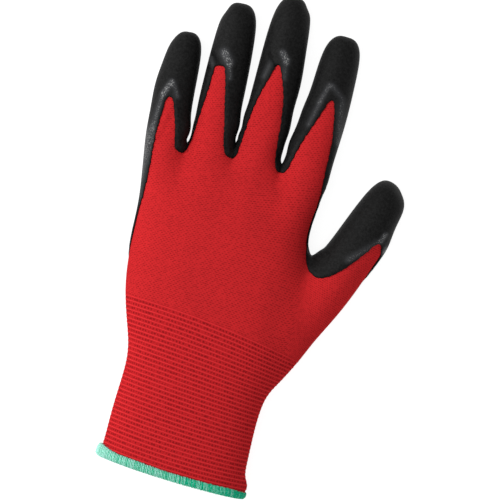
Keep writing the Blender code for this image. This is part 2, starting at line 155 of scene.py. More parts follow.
# The bare window on the back: shares of a finger's length, and of its half width to each side
WindowRow = namedtuple("WindowRow", "along left right")
FINGER_WINDOWS = (
    (WindowRow(0.05, -0.58, 0.55), WindowRow(0.20, -0.52, 0.37), WindowRow(0.34, -0.45, 0.13),
     WindowRow(0.44, -0.41, -0.06)),
    (WindowRow(0.04, -0.97, 0.58), WindowRow(0.24, -0.83, 0.33), WindowRow(0.42, -0.69, 0.08),
     WindowRow(0.555, -0.65, -0.12), WindowRow(0.575, -0.60, -0.18)),
    (WindowRow(0.04, -0.97, 0.73), WindowRow(0.27, -0.82, 0.64), WindowRow(0.42, -0.57, 0.45),
     WindowRow(0.52, -0.33, 0.20), WindowRow(0.592, -0.20, -0.01)),
    (WindowRow(0.05, -0.84, 0.84), WindowRow(0.20, -0.66, 0.79), WindowRow(0.32, -0.42, 0.70),
     WindowRow(0.46, -0.12, 0.50), WindowRow(0.57, 0.08, 0.27)),
)
CROTCH_DIP = 0.045      # of the palm's length, from a root's middle back to the window's edge

# The window's edges on the palm part: along the palm, and across as shares of the half width
EdgePoint = namedtuple("EdgePoint", "along across")
LITTLE_SIDE_EDGE = (EdgePoint(0.45, -1.06), EdgePoint(0.58, -0.965), EdgePoint(0.80, -0.945))
INDEX_SIDE_EDGE = (EdgePoint(0.90, 0.930), EdgePoint(0.75, 0.895), EdgePoint(0.55, 0.905),
                   EdgePoint(0.47, 0.965), EdgePoint(0.43, 1.09))
THUMB_WINDOW = (        # along the thumb's length, and across its half width
    EdgePoint(0.13, -0.10), EdgePoint(0.37, 0.38), EdgePoint(0.55, 0.66), EdgePoint(0.52, 0.92),
    EdgePoint(0.45, 1.06), EdgePoint(0.42, 1.40),
)
# Where the dip line crosses the two sides and the palm, and the middle of the hollow
DipPoint = namedtuple("DipPoint", "along across height")
DIP_LINE = (DipPoint(0.45, -1.00, 0.50), DipPoint(0.575, 1.68, 0.36), DipPoint(0.13, 0.00, 0.00))
HOLLOW_MIDDLE = (DipPoint(0.45, -1.00, 0.52), DipPoint(0.575, 1.68, 0.38), DipPoint(1.60, 0.15, 0.40))
CUTTER_OVERLAP = 0.0005          # how far the two cutters run into each other

SURFACE = FIT_GAP + COAT_WALL    # the skin's lowest level, so that the coating rests on the surface
REST_Y = CUFF_LENGTH + REST_ALONG * PALM_LENGTH
FAR = 2 * KNUCKLE_WIDTH          # well outside the glove


def place(across, along, height=0.0):
    """A point from the hand's middle line, the cuff's edge and the surface."""
    return Vector((across, along - REST_Y, height))


def palm_place(point):
    """A point given as shares of the knuckles' half width and the palm's length."""
    return place(point.across * KNUCKLE_WIDTH / 2, CUFF_LENGTH + point.along * PALM_LENGTH)


def six_loop(centre, heading, half_width, half_height, rake=0.0):
    """Six points round a stall: three over the back from left to right, then three back below."""
    side = Vector((math.cos(heading), -math.sin(heading), 0))
    ahead = Vector((math.sin(heading), math.cos(heading), 0))
    points = []
    for degrees in SIX_TURNS:
        turn = math.radians(degrees)
        across = math.cos(turn) * half_width / SIX_SHRINK
        up = math.sin(turn) * half_height / SIX_SHRINK
        points.append(centre + side * across + ahead * (-rake * up) + Vector((0, 0, up)))
    return points


def finger_root(number):
    """The middle of a finger's root, seen from above."""
    finger = FINGERS[number]
    before = sum(f.width + FINGER_GAP for f in FINGERS[:number])
    across = (KNUCKLE_SHIFT - 0.5) * KNUCKLE_WIDTH + before + finger.width / 2
    return place(across, CUFF_LENGTH + finger.along * PALM_LENGTH)


def on_finger(number, along, side):
    """A point above a finger, by shares of its length and half width."""
    finger = FINGERS[number]
    ahead = Vector((math.sin(finger.lean), math.cos(finger.lean), 0))
    across = Vector((math.cos(finger.lean), -math.sin(finger.lean), 0))
    return finger_root(number) + ahead * along * finger.length + across * side * finger.width / 2


def finger_loops(number):
    finger = FINGERS[number]
    tip_middle = SURFACE + finger.tip_height * finger.width
    loops = []
    for row in FINGER_ROWS:
        centre = on_finger(number, row.along, 0)
        centre.z = ROOT_HEIGHT + row.drop * (tip_middle - ROOT_HEIGHT)
        half = row.width * finger.width / 2
        heading = finger.lean + row.slant * finger.slant
        loops.append(six_loop(centre, heading, half, half * ROUNDNESS, row.rake))
    return loops


def on_thumb(along, side):
    """A point above the thumb, by shares of its length and half width."""
    root = place(THUMB_ROOT[0] * KNUCKLE_WIDTH, CUFF_LENGTH + THUMB_ROOT[1] * PALM_LENGTH)
    ahead = Vector((math.sin(THUMB_LEAN), math.cos(THUMB_LEAN), 0))
    across = Vector((math.cos(THUMB_LEAN), -math.sin(THUMB_LEAN), 0))
    return root + ahead * along * THUMB_LENGTH + across * side * THUMB_WIDTH / 2


def thumb_loops():
    loops = []
    for row in THUMB_ROWS:
        half_height = row.height * THUMB_TALL * THUMB_WIDTH / 2
        centre = on_thumb(row.along, 2 * row.side)
        centre.z = SURFACE + half_height - THUMB_SAG
        half_width = row.width * THUMB_WIDTH / 2
        loops.append(six_loop(centre, THUMB_LEAN + row.turn, half_width, half_height))
    return loops


def root_columns():
    """Where the finger roots' points lie across the hand, from -1 to 1."""
    middle = KNUCKLE_SHIFT * KNUCKLE_WIDTH
    across = []
    for number in range(len(FINGERS)):
        loop = finger_loops(number)[0]
        across += [(point.x - middle) / (KNUCKLE_WIDTH / 2) for point in loop[:PER_FINGER]]
    return [ROOT_REACH * value for value in across]


def round_columns():
    """Where the points of an even round ring lie across it, from -1 to 1."""
    step = math.pi / COLUMNS
    return [-math.cos((number + 0.5) * step) for number in range(COLUMNS)]


def ring_points(ring, half_span, along, height):
    """The points of one ring: over the back from left to right, then back on the palm side."""
    left = -ring.left * half_span
    right = ring.right * half_span
    low = SURFACE + ring.low * height - SAG
    high = ring.high * height
    middle = (low + high) / 2
    back = []
    under = []
    for round_share, root_share in zip(round_columns(), root_columns()):
        share = round_share + ring.spread * (root_share - round_share)
        across = (left + right) / 2 + share * (right - left) / 2
        rise = (1 - abs(share) ** BACK_POWER) ** (1 / BACK_POWER) * (high - middle)
        fall = (1 - abs(share) ** PALM_POWER) ** (1 / PALM_POWER) * (middle - low)
        back.append(place(across, along - ring.rake * rise, middle + rise))
        under.append(place(across, along + ring.rake * fall, middle - fall))
    return back + under[::-1]


def cuff_edge(across):
    """How far the knitted edge lies along the hand at a place across it."""
    share = 2 * across / CUFF_WIDTH
    return FIT_GAP + HEM_WALL - across * math.tan(CUFF_SLANT) + CUFF_BOW * share * share


def hand_rings():
    """All rings from the cuff's edge to just before the finger roots."""
    rings = []
    for ring in CUFF_RINGS:
        points = ring_points(ring, CUFF_WIDTH / 2, ring.along * CUFF_LENGTH, CUFF_HEIGHT)
        for point in points:
            point.y += cuff_edge(point.x) * (1 - ring.along)
        rings.append(points)
    for ring in PALM_RINGS:
        along = CUFF_LENGTH + ring.along * PALM_LENGTH
        rings.append(ring_points(ring, KNUCKLE_WIDTH / 2, along, PALM_HEIGHT))
    seat_thumb(rings)
    return rings


def seat_thumb(rings):
    """Move the thumb side of three rings out to the thumb's root."""
    half_height = THUMB_TALL * THUMB_WIDTH / 2
    middle = SURFACE + half_height
    for number, seat, rise in zip(THUMB_RINGS, THUMB_SEAT, THUMB_SEAT_RISE):
        for column, sign in ((COLUMNS - 1, 1), (COLUMNS, -1)):
            rings[number][column].x = seat * KNUCKLE_WIDTH / 2
            rings[number][column].z = middle + sign * rise * half_height


def finger_bases(root):
    """Split the root ring into one loop of six for each finger."""
    last = len(root) - 1
    bases = []
    for number in range(len(FINGERS)):
        first = number * PER_FINGER
        back = [root[first + step] for step in range(PER_FINGER)]
        under = [root[last - first - step] for step in range(PER_FINGER)]
        bases.append(back + under[::-1])
    return bases


def rest_level(along):
    """The skin's lowest level: the hem is thicker than the coating, so it lifts the cuff's end."""
    past_hem = along + REST_Y - LEVEL_HEM * HEM_WIDTH
    share = min(1.0, max(0.0, past_hem / (LIFTED_CUFF * CUFF_LENGTH)))
    hem_level = FIT_GAP + HEM_WALL
    return hem_level + share * (SURFACE - hem_level)


def through_three(points):
    """Height coefficients of the plane through three points: z = a + b x + c y."""
    matrix = np.array([(1, point.x, point.y) for point in points])
    return np.linalg.solve(matrix, np.array([point.z for point in points]))


def dip_place(point):
    at = palm_place(point)
    at.z = point.height * PALM_HEIGHT
    return at


def soften(line):
    """An open line with each of its corners cut off."""
    cut = [line[0]]
    for here, there in zip(line, line[1:]):
        cut += [here.lerp(there, 0.25), here.lerp(there, 0.75)]
    return cut + [line[-1]]


def window_outline():
    """The bare window seen from above, from the little finger's side round to the thumb's."""
    outline = [palm_place(point) for point in LITTLE_SIDE_EDGE]
    for number, rows in enumerate(FINGER_WINDOWS):
        outline += [on_finger(number, row.along, row.left) for row in rows]
        outline += [on_finger(number, row.along, row.right) for row in rows[::-1]
                    if row.right > row.left]
        if number < len(FINGERS) - 1:
            crotch = (finger_root(number) + finger_root(number + 1)) / 2
            crotch.x = (on_finger(number, 0, 1).x + on_finger(number + 1, 0, -1).x) / 2 + CROTCH_SHIFTS[number]
            crotch.y -= CROTCH_DIP * PALM_LENGTH
            outline += [crotch + Vector((side * CROTCH_HALF, abs(side) * CROTCH_RISE, 0)) for side in (-1, 0, 1)]
    outline += [palm_place(point) for point in INDEX_SIDE_EDGE]
    outline += [on_thumb(point.along, point.across) for point in THUMB_WINDOW]
    outline = soften(soften(outline))
    outline.append(Vector((FAR, outline[-1].y, 0)))
    outline.append(Vector((FAR, -FAR, 0)))
    outline.append(Vector((-FAR, -FAR, 0)))
    outline.append(Vector((-FAR, outline[0].y, 0)))
    return outline


# Fineness of the visible surfaces
LINER_LEVEL = 3         # times each cage face is halved
COAT_LEVEL = 4
COAT_KEPT = 0.85    # share of the coating's faces kept, the flattest merged
CUFF_CUTS = 4           # extra rows in each row of the cuff, so that its ribs show

# Knit, in real sizes
KNIT_ROUND = 0.205      # round the palm
ROW_PITCH = 0.00102     # between two rows of stitches
GAP_PITCH = 0.0019      # between two gaps in a row
CUFF_GAP_PITCH = 0.0017
KNIT_TILT = 0.17        # how far the rows climb to the thumb side near the fingers
RIB_PITCH = 0.0022      # between two elastic courses of the cuff
RIB_RELIEF = 0.00018
RIB_WIDTH = 0.15        # of the pitch
RIB_TOP = 0.0820        # where the elastic courses end at the hand's middle line
RIB_TOP_SLANT = math.radians(8.6)
RIB_TOP_BOW = 0.0015

# Coating's edge between two fingers: half the width of its round bottom, and how far that is high
CROTCH_HALF = 0.0029
CROTCH_RISE = 0.0012
CROTCH_SHIFTS = (-0.0022, -0.0013, -0.0003)     # of each, to the thumb side

# Coating, from the skin outwards
COAT_OUTSIDE = FIT_GAP + COAT_WALL
COAT_INSIDE = 0.00012
COAT_LIP = 0.00055      # outer face at its edge, before it thickens
LIP_WIDTH = 0.0016
DARK_EDGE_WIDTH = 0.0009   # of the dark line along the edge
EDGE_WAVER = 0.00028    # how far the dipped edge strays from its line

# Hem
STITCH_PITCH = 0.00078
THREAD_RADIUS = 0.00030
STITCH_SLANT = 0.0006   # how far a stitch leans along the edge
# Where the hem bulges at the cuff's two sides: place as a share of the half width, reach, and growth
HemBulge = namedtuple("HemBulge", "share reach growth")
HEM_BULGES = (HemBulge(-1.05, 0.15, 0.45), HemBulge(-0.65, 0.40, 0.12), HemBulge(1.05, 0.15, -0.15))

# Places where the worn glove is fuller or slimmer than the even form: spot, move across and along, reach
Nudge = namedtuple("Nudge", "x y across along reach")
NUDGES = (
    Nudge(-0.0490, 0.0800, -0.0014, -0.0003, 0.013),    # little finger's outer side
    Nudge(-0.0510, 0.0600, -0.0006, -0.0001, 0.012),
    Nudge(-0.0450, 0.1065, 0.0008, -0.0003, 0.006),     # and its tip, which leans inwards
    Nudge(-0.0310, 0.0600, 0.0011, 0.0000, 0.005),      # webs of the fingers
    Nudge(-0.0315, 0.0520, 0.0000, 0.0022, 0.004),
    Nudge(-0.0032, 0.0590, 0.0000, 0.0015, 0.004),
    Nudge(-0.0245, 0.1242, 0.0007, -0.0004, 0.004),     # ring finger's tip
    Nudge(0.0160, 0.1346, -0.0007, -0.0008, 0.004),     # middle finger's tip and thumb side
    Nudge(0.0205, 0.0950, 0.0009, 0.0001, 0.016),
    Nudge(0.0245, 0.0640, -0.0012, 0.0000, 0.006),      # facing sides of the fingers
    Nudge(0.0250, 0.0830, -0.0005, 0.0000, 0.007),
    Nudge(0.0290, 0.0700, -0.0010, 0.0000, 0.007),
    Nudge(0.0130, 0.0700, 0.0014, 0.0000, 0.0075),
    Nudge(0.0205, 0.0560, -0.0008, 0.0000, 0.004),
    Nudge(0.0450, 0.0800, 0.0005, 0.0000, 0.018),
    Nudge(-0.0085, 0.0680, 0.0012, 0.0000, 0.0065),
    Nudge(0.0020, 0.0720, -0.0014, 0.0000, 0.006),
    Nudge(-0.0010, 0.0630, -0.0010, 0.0000, 0.0045),
    Nudge(-0.0350, 0.0620, 0.0008, 0.0000, 0.005),
    Nudge(-0.0250, 0.0620, -0.0008, 0.0000, 0.005),
    Nudge(-0.0285, 0.0640, 0.0004, 0.0000, 0.007),
    Nudge(0.0434, 0.0352, 0.0010, 0.0002, 0.010),       # palm below the index finger
    Nudge(0.0450, 0.0470, 0.0007, 0.0000, 0.009),
    Nudge(0.0465, 0.0110, 0.0008, 0.0034, 0.006),       # web of the thumb
    Nudge(0.0450, 0.0130, -0.0003, 0.0009, 0.004),
    Nudge(0.0816, 0.0228, 0.0012, 0.0003, 0.008),       # thumb's outer side over its joint
    Nudge(0.0850, 0.0440, 0.0005, 0.0000, 0.006),
    Nudge(0.0836, 0.0542, -0.0018, -0.0006, 0.005),     # thumb's tip
    Nudge(-0.0480, 0.0330, -0.0007, 0.0000, 0.012),     # palm's outer side
    Nudge(-0.0480, 0.0150, -0.0002, 0.0000, 0.022),
    Nudge(-0.0455, -0.0110, -0.0008, 0.0000, 0.020),
    Nudge(0.0480, -0.0450, 0.0020, -0.0006, 0.014),     # where the cuff widens to the thumb
    Nudge(0.0435, -0.0540, 0.0006, -0.0006, 0.008),
    Nudge(0.0360, -0.0750, 0.0007, 0.0000, 0.020),
    Nudge(0.0360, -0.0950, 0.0005, 0.0000, 0.014),
    Nudge(0.0375, -0.1090, 0.0022, 0.0000, 0.004),      # cuff's edge
    Nudge(0.0000, -0.1180, 0.0000, 0.0005, 0.040),
)

# Soft folds of the back: from and to seen from above, height (below nought a dent), width, and how much
# painted sheen and painted glints the foam gets along them, where it is also made smoother
Fold = namedtuple("Fold", "x0 y0 x1 y1 height width shine")
FOLDS = (
    # little finger: a tent over the window's tip
    Fold(-0.0424, 0.0822, -0.0448, 0.0760, 0.00045, 0.0013, 0.95),
    Fold(-0.0452, 0.0745, -0.0464, 0.0580, 0.00035, 0.0013, 0.62),
    Fold(-0.0410, 0.0810, -0.0382, 0.0754, 0.00035, 0.0011, 0.55),
    # ring finger: two creases from the tip's corner and a swelling above it
    Fold(-0.0212, 0.0958, -0.0246, 0.0998, -0.00090, 0.0009, 0.0),
    Fold(-0.0236, 0.0950, -0.0258, 0.0985, 0.00065, 0.0010, 0.45),
    Fold(-0.0252, 0.0930, -0.0264, 0.0960, -0.00040, 0.0008, 0.0),
    Fold(-0.0195, 0.1025, -0.0165, 0.0983, 0.00050, 0.0020, 0.95),
    Fold(-0.0160, 0.0970, -0.0143, 0.0900, 0.00020, 0.0010, 0.6),
    # middle finger
    Fold(0.0072, 0.1010, 0.0022, 0.1072, -0.00090, 0.0010, 0.0),
    Fold(0.0046, 0.1025, 0.0026, 0.0950, 0.00060, 0.0014, 0.45),
    Fold(0.0090, 0.1085, 0.0114, 0.1050, 0.00045, 0.0015, 0.95),
    Fold(0.0114, 0.1050, 0.0122, 0.0960, 0.00015, 0.0013, 0.5),
    # index finger: a tent like the little finger's, and the band beyond it
    Fold(0.0356, 0.0975, 0.0328, 0.0885, 0.00040, 0.0012, 0.6),
    Fold(0.0326, 0.0870, 0.0298, 0.0760, 0.00035, 0.0013, 0.5),
    Fold(0.0372, 0.0975, 0.0424, 0.0925, 0.00035, 0.0013, 0.5),
    Fold(0.0428, 0.0900, 0.0448, 0.0700, 0.00030, 0.0016, 0.6),
    # thumb: beside the window and past its corner
    Fold(0.0640, 0.0140, 0.0755, 0.0250, 0.00040, 0.0018, 0.55),
    Fold(0.0768, 0.0262, 0.0786, 0.0306, 0.00050, 0.0009, 1.0),
    Fold(0.0805, 0.0239, 0.0781, 0.0161, 0.00000, 0.0012, 0.9),
    # valleys below the fingers, filled by the knuckles
    Fold(-0.0247, 0.0500, -0.0240, 0.0400, 0.00090, 0.0050, 0.0),
    Fold(-0.0049, 0.0500, -0.0045, 0.0380, 0.00110, 0.0055, 0.0),
    Fold(0.0195, 0.0490, 0.0190, 0.0370, 0.00110, 0.0055, 0.0),
    Fold(0.0430, 0.0040, 0.0415, -0.0260, 0.00120, 0.0060, 0.0),
    # painted sheen on the coating at the palm's outer side, which faces the key light, and knit below the little
    # finger
    Fold(-0.0470, 0.0540, -0.0495, 0.0050, 0.00000, 0.0040, 0.72),
    Fold(-0.0388, 0.0652, -0.0430, 0.0513, -0.00070, 0.0013, 0.0),
    Fold(-0.0408, 0.0655, -0.0446, 0.0530, 0.00040, 0.0014, 0.0),
    Fold(-0.0372, 0.0560, -0.0436, 0.0470, -0.00060, 0.0015, 0.0),
)

CAMERA_TURN = math.radians(12.5)
CAMERA_AIM = (0.0142, 0.0081, 0.014)
PICTURE_WIDTH = 0.2525
LENS = 400
SENSOR = 36


def linear(code):
    """An sRGB colour code as the linear colour that a shader takes."""
    values = [int(code[place:place + 2], 16) / 255 for place in (1, 3, 5)]
    bright = [v / 12.92 if v <= 0.04045 else ((v + 0.055) / 1.055) ** 2.4 for v in values]
    return (*bright, 1.0)


def node(tree, kind, settings=None, **links):
    """Add a shader node. Keys of settings are its properties or inputs, and links name its inputs."""
    made = tree.nodes.new("ShaderNode" + kind)
    for key, value in (settings or {}).items():
        if isinstance(key, int) or key in made.inputs:
            made.inputs[key].default_value = value
        else:
            setattr(made, key, value)
    for key, source in links.items():
        wanted = int(key[1:]) if key[1:].isdigit() else key.replace("_", " ")
        tree.links.new(source, made.inputs[wanted])
    return made


def new_material(name, shader_settings):
    made = bpy.data.materials.new(name)
    made.use_nodes = True
    tree = made.node_tree
    shader = tree.nodes["Principled BSDF"]
    for key, value in shader_settings.items():
        shader.inputs[key].default_value = value
    return made, tree, shader


def math_node(operation, *values):
    return {"operation": operation, **dict(enumerate(values))}


def rows_of_gaps(tree, across, course, uneven, row_pitch, gap_pitch):
    """Rows of short dark gaps between stitches, each row half a gap further on: 1 in a gap."""
    rows = node(tree, "Math", math_node("DIVIDE", 0, row_pitch), _0=course)
    row = node(tree, "Math", math_node("FLOOR"), _0=rows.outputs[0])
    along = node(tree, "Math", math_node("DIVIDE", 0, gap_pitch), _0=across)
    shifted = node(tree, "Math", math_node("MULTIPLY_ADD", 0, 0.5), _0=row.outputs[0], _2=along.outputs[0])
    gap_turn = node(tree, "Math", math_node("MULTIPLY", 0, 2 * math.pi), _0=shifted.outputs[0])
    gap_wave = node(tree, "Math", math_node("SINE"), _0=gap_turn.outputs[0])
    row_turn = node(tree, "Math", math_node("MULTIPLY", 0, 2 * math.pi), _0=rows.outputs[0])
    row_wave = node(tree, "Math", math_node("COSINE"), _0=row_turn.outputs[0])
    broken = node(tree, "Math", math_node("MULTIPLY_ADD", 0, 8.0), _0=uneven, _2=gap_wave.outputs[0])
    beside = node(tree, "MapRange", {"From Min": 3.2, "From Max": 5.0}, Value=broken.outputs[0])
    between = node(tree, "MapRange", {"From Min": 0.3, "From Max": -0.7}, Value=row_wave.outputs[0])
    return node(tree, "Math", math_node("MULTIPLY"), _0=beside.outputs[0], _1=between.outputs[0]).outputs[0]


def red_nylon_knit():
    """Nylon yarn knitted on a fine-gauge machine: matte, with rows of dark gaps between its stitches.

    The gaps are about 0.85 mm apart, drawn at 1.7 mm so that they show. In the cuff, every 2.2 mm
    an elastic course lies on top as a thin paler line.
    """
    made, tree, shader = new_material("nylon_fine_gauge_knit_red", {
        "Roughness": 0.75, "IOR": 1.5,
        "Specular IOR Level": 0.0})
    knit = node(tree, "UVMap", {"uv_map": "knit"})
    at = node(tree, "SeparateXYZ", Vector=knit.outputs["UV"])
    place_in = node(tree, "TexCoord")
    uneven = node(tree, "TexNoise", {"Scale": 700.0, "Detail": 2.0, "Roughness": 0.6},
                  Vector=place_in.outputs["Object"])
    sway = node(tree, "TexNoise", {"Scale": 45.0, "Detail": 1.0}, Vector=place_in.outputs["Object"])
    swayed = node(tree, "Math", math_node("MULTIPLY_ADD", 0, 0.0016), _0=sway.outputs["Fac"],
                  _2=at.outputs["Y"])
    course = node(tree, "Attribute", {"attribute_name": "course"})
    in_cuff = node(tree, "Attribute", {"attribute_name": "cuff"})
    hand_gaps = rows_of_gaps(tree, at.outputs["X"], swayed.outputs[0], uneven.outputs["Fac"],
                             ROW_PITCH, GAP_PITCH)
    cuff_gaps = rows_of_gaps(tree, at.outputs["X"], course.outputs["Fac"], uneven.outputs["Fac"],
                             RIB_PITCH, CUFF_GAP_PITCH)
    gaps = node(tree, "Mix", {"data_type": "FLOAT"}, Factor=in_cuff.outputs["Fac"], _2=hand_gaps, _3=cuff_gaps)
    patches = node(tree, "TexNoise", {"Scale": 55.0, "Detail": 2.0}, Vector=place_in.outputs["Object"])
    palm_red = node(tree, "Mix", {"data_type": "RGBA", 6: linear("#c9282b"), 7: linear("#b62528")},
                    Factor=patches.outputs["Fac"])
    ground = node(tree, "Mix", {"data_type": "RGBA", 7: linear("#b72226")},
                  Factor=in_cuff.outputs["Fac"], _6=palm_red.outputs[2])
    depth = node(tree, "MapRange", {"To Min": 0.56, "To Max": 0.66}, Value=in_cuff.outputs["Fac"])
    dark = node(tree, "Math", math_node("MULTIPLY"), _0=gaps.outputs[0], _1=depth.outputs["Result"])
    knitted = node(tree, "Mix", {"data_type": "RGBA", 7: linear("#5f0e12")},
                   Factor=dark.outputs[0], _6=ground.outputs[2])
    rib_turn = node(tree, "Math", math_node("MULTIPLY", 0, 2 * math.pi / RIB_PITCH), _0=course.outputs["Fac"])
    rib_wave = node(tree, "Math", math_node("COSINE"), _0=rib_turn.outputs[0])
    rib_line = node(tree, "MapRange", {"From Min": 0.86, "From Max": 1.00}, Value=rib_wave.outputs[0])
    rib_here = node(tree, "Math", math_node("MULTIPLY"), _0=rib_line.outputs["Result"],
                    _1=in_cuff.outputs["Fac"])
    elastic = node(tree, "Mix", {"data_type": "RGBA", 7: linear("#e03539")},
                   Factor=rib_here.outputs[0], _6=knitted.outputs[2])
    tree.links.new(elastic.outputs[2], shader.inputs["Base Color"])
    bump = node(tree, "Bump", {"Strength": 0.4, "Distance": 0.00012}, Height=gaps.outputs[0])
    bump.invert = True
    tree.links.new(bump.outputs["Normal"], shader.inputs["Normal"])
    return made


def black_foam_nitrile():
    """Nitrile foam, dipped and cured: near black with a satin skin, grainy like fine sand.

    Its cells are about 0.3 mm, drawn at 0.5 mm so that they show. Over the folds the foam is smoother, and a
    painted sheen and small painted highlight specks lighten it where the folds face up. Its creases get painted
    shading, and it is darkest along its edge.
    """
    made, tree, shader = new_material("nitrile_foam_dipped_black", {
        "IOR": 1.52, "Specular IOR Level": 0.12})
    place_in = node(tree, "TexCoord")
    grain = node(tree, "TexNoise", {"Scale": 1700.0, "Detail": 1.0, "Roughness": 0.6},
                 Vector=place_in.outputs["Object"])
    cells = node(tree, "TexVoronoi", {"Scale": 1500.0}, Vector=place_in.outputs["Object"])
    cloud = node(tree, "TexNoise", {"Scale": 750.0, "Detail": 2.0}, Vector=place_in.outputs["Object"])
    # painted sheen and painted highlight specks over upward-facing folds; the same attribute also lowers the
    # roughness there
    stretch_and_sheen = node(tree, "Attribute", {"attribute_name": "stretch_and_painted_sheen"})
    dark_edge_and_crease_shade = node(tree, "Attribute", {"attribute_name": "edge"})
    # painted glints: pale specks of the grain where the folds carry painted sheen
    glint_specks = node(tree, "MapRange", {"From Min": 0.52, "From Max": 0.68}, Value=grain.outputs["Fac"])
    glint_strength = node(tree, "MapRange", {"From Min": 0.40, "From Max": 1.0}, Value=stretch_and_sheen.outputs["Fac"])
    painted_glints = node(tree, "Math", math_node("MULTIPLY"), _0=glint_specks.outputs["Result"],
                   _1=glint_strength.outputs["Result"])
    mottle = node(tree, "Math", math_node("ADD"), _0=cloud.outputs["Fac"], _1=grain.outputs["Fac"])
    mottled = node(tree, "MapRange", {"From Min": 0.75, "From Max": 1.25}, Value=mottle.outputs[0])
    ground = node(tree, "Mix", {"data_type": "RGBA", 6: linear("#080808"), 7: linear("#1b1b1b")},
                  Factor=mottled.outputs["Result"])
    # painted sheen: the foam greyed over the folds
    painted_sheen_share = node(tree, "Math", math_node("MULTIPLY", 0, 0.70), _0=stretch_and_sheen.outputs["Fac"])
    with_painted_sheen = node(tree, "Mix", {"data_type": "RGBA", 7: linear("#48494c")},
                  Factor=painted_sheen_share.outputs[0], _6=ground.outputs[2])
    with_painted_glints = node(tree, "Mix", {"data_type": "RGBA", 7: linear("#a2a2a1")},
                Factor=painted_glints.outputs[0], _6=with_painted_sheen.outputs[2])
    # darker along the coating's edge, and painted shade in its creases
    with_dark_edge_and_shade = node(tree, "Mix", {"data_type": "RGBA", 7: linear("#050505")},
                 Factor=dark_edge_and_crease_shade.outputs["Fac"], _6=with_painted_glints.outputs[2])
    tree.links.new(with_dark_edge_and_shade.outputs[2], shader.inputs["Base Color"])
    rough = node(tree, "MapRange", {"To Min": 0.62, "To Max": 0.42}, Value=stretch_and_sheen.outputs["Fac"])
    tree.links.new(rough.outputs["Result"], shader.inputs["Roughness"])
    fine = node(tree, "Bump", {"Strength": 0.35, "Distance": 0.00012}, Height=cells.outputs["Distance"])
    bump = node(tree, "Bump", {"Strength": 0.5, "Distance": 0.0002}, Height=grain.outputs["Fac"],
                Normal=fine.outputs["Normal"])
    tree.links.new(bump.outputs["Normal"], shader.inputs["Normal"])
    return made


def green_overlock_thread():
    """Spun polyester sewing thread: matte and fibrous, each stitch a little lighter or darker, and painted
    light makes the stitches lighter towards the little finger's side, where the key light comes from.
    """
    made, tree, shader = new_material("polyester_overlock_thread_green", {
        "Roughness": 0.7, "IOR": 1.5, "Specular IOR Level": 0.12})
    # each stitch's own tone, with painted light towards the little finger's side
    stitch = node(tree, "Attribute", {"attribute_name": "tone_and_painted_light"})
    place_in = node(tree, "TexCoord")
    fibres = node(tree, "TexNoise", {"Scale": 1300.0, "Detail": 2.0}, Vector=place_in.outputs["Object"])
    mixed = node(tree, "Math", math_node("ADD", 0, 0), _0=stitch.outputs["Fac"], _1=fibres.outputs["Fac"])
    share = node(tree, "MapRange", {"From Min": 0.78, "From Max": 1.5}, Value=mixed.outputs[0])
    colour = node(tree, "Mix", {"data_type": "RGBA", 6: linear("#02b286"), 7: linear("#b4eade")},
                  Factor=share.outputs["Result"])
    tree.links.new(colour.outputs[2], shader.inputs["Base Color"])
    bump = node(tree, "Bump", {"Strength": 0.4, "Distance": 0.0001}, Height=fibres.outputs["Fac"])
    tree.links.new(bump.outputs["Normal"], shader.inputs["Normal"])
    return made


def pale_paper():
    """Matte white backdrop paper."""
    made, tree, shader = new_material("backdrop_paper_white", {"Roughness": 0.9})
    place_in = node(tree, "TexCoord")
    fibres = node(tree, "TexNoise", {"Scale": 300.0}, Vector=place_in.outputs["Object"])
    colour = node(tree, "Mix", {"data_type": "RGBA", 6: linear("#8a8a8a"), 7: linear("#909090")},
                  Factor=fibres.outputs["Fac"])
    tree.links.new(colour.outputs[2], shader.inputs["Base Color"])
    shader.inputs["Emission Color"].default_value = (1, 1, 1, 1)
    shader.inputs["Emission Strength"].default_value = 0.9
    return made


def smooth_share(value):
    value = min(1.0, max(0.0, value))
    return value * value * (3 - 2 * value)


def course_at(across, y):
    """How far along the knit a place on the back lies, in courses' lengths from the knitted edge."""
    along = y + REST_Y
    share = across / (CUFF_WIDTH / 2)
    top = RIB_TOP - across * math.tan(RIB_TOP_SLANT)
    edge = cuff_edge(across)
    up = min(1.0, (along - edge) / (top - edge))
    bow = RIB_TOP_BOW * (1 - share * share) * up * abs(up)
    if up < 1.0:
        return RIB_TOP * up - bow
    level = smooth_share((along - RIB_TOP) / PALM_LENGTH)
    return RIB_TOP + along - top - bow - level * (RIB_TOP - top - bow + KNIT_TILT * across)


def rib_height(course):
    """From 0 between the elastic courses to 1 on top of one."""
    if course > RIB_TOP + RIB_PITCH / 2:
        return 0.0
    from_rib = (course / RIB_PITCH + 0.5) % 1.0 - 0.5
    return math.exp(-(from_rib / RIB_WIDTH) ** 2)


def lengths_round(points):
    """The distance round a closed loop up to each of its points, and back to the first."""
    around = [0.0]
    for here, there in zip(points, points[1:] + points[:1]):
        around.append(around[-1] + (there.co - here.co).length)
    return around


def hand_knit(ring):
    """Stitch places round a ring of the hand."""
    around = lengths_round(ring)
    across = [KNIT_ROUND * length / around[-1] for length in around]
    closed = ring + ring[:1]
    return [(u, course_at(point.co.x, point.co.y)) for u, point in zip(across, closed)]


def stall_knit(loop, middle, ahead=None):
    """Stitch places round a finger, counted from the middle of its back."""
    around = lengths_round(loop)
    closed = loop + loop[:1]
    knit = []
    for length, point in zip(around, closed):
        course = course_at(point.co.x, point.co.y) if ahead is None else point.co.dot(ahead)
        knit.append((middle + length - around[1], course))
    return knit


